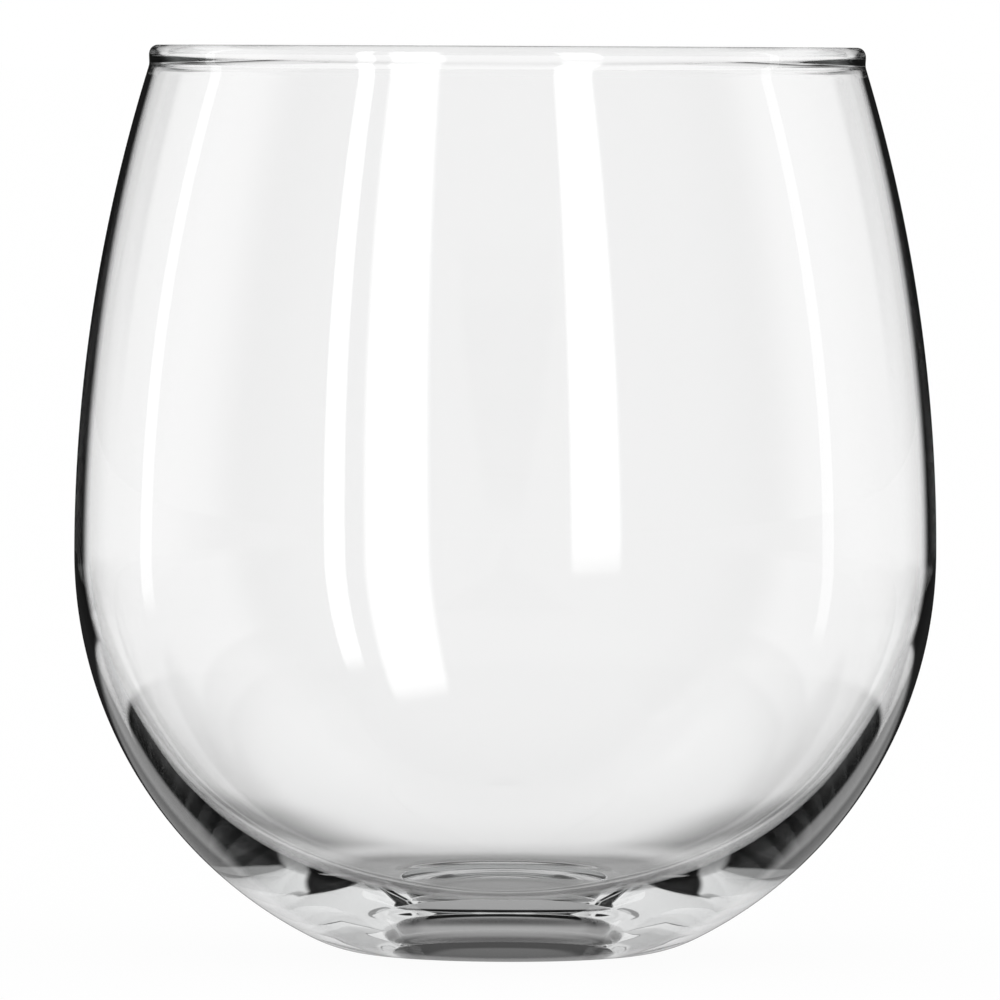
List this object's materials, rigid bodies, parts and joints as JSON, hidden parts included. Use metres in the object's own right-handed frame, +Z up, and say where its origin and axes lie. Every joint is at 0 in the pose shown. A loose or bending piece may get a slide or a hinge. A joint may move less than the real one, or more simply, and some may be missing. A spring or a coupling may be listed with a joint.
{
  "type": "stemless wine glass",
  "caption": "Clear round-bellied drinking glass without a stem: a wide thin-walled bowl on a thicker rounded base, narrowing to a fire-polished rim, for holding wine.",
  "frame": {"origin": "middle of the foot, on the plane that the glass stands on", "axes": "+Z up along the glass's axis; the glass is round, so X and Y are any two level directions"},
  "size_m": [0.099, 0.099, 0.1042],
  "materials": {
    "clear_glass": "clear, colourless, fire-polished all over"
  },
  "bodies": {
    "root": {"glass_bowl": "clear_glass"}
  },
  "joints": []
}
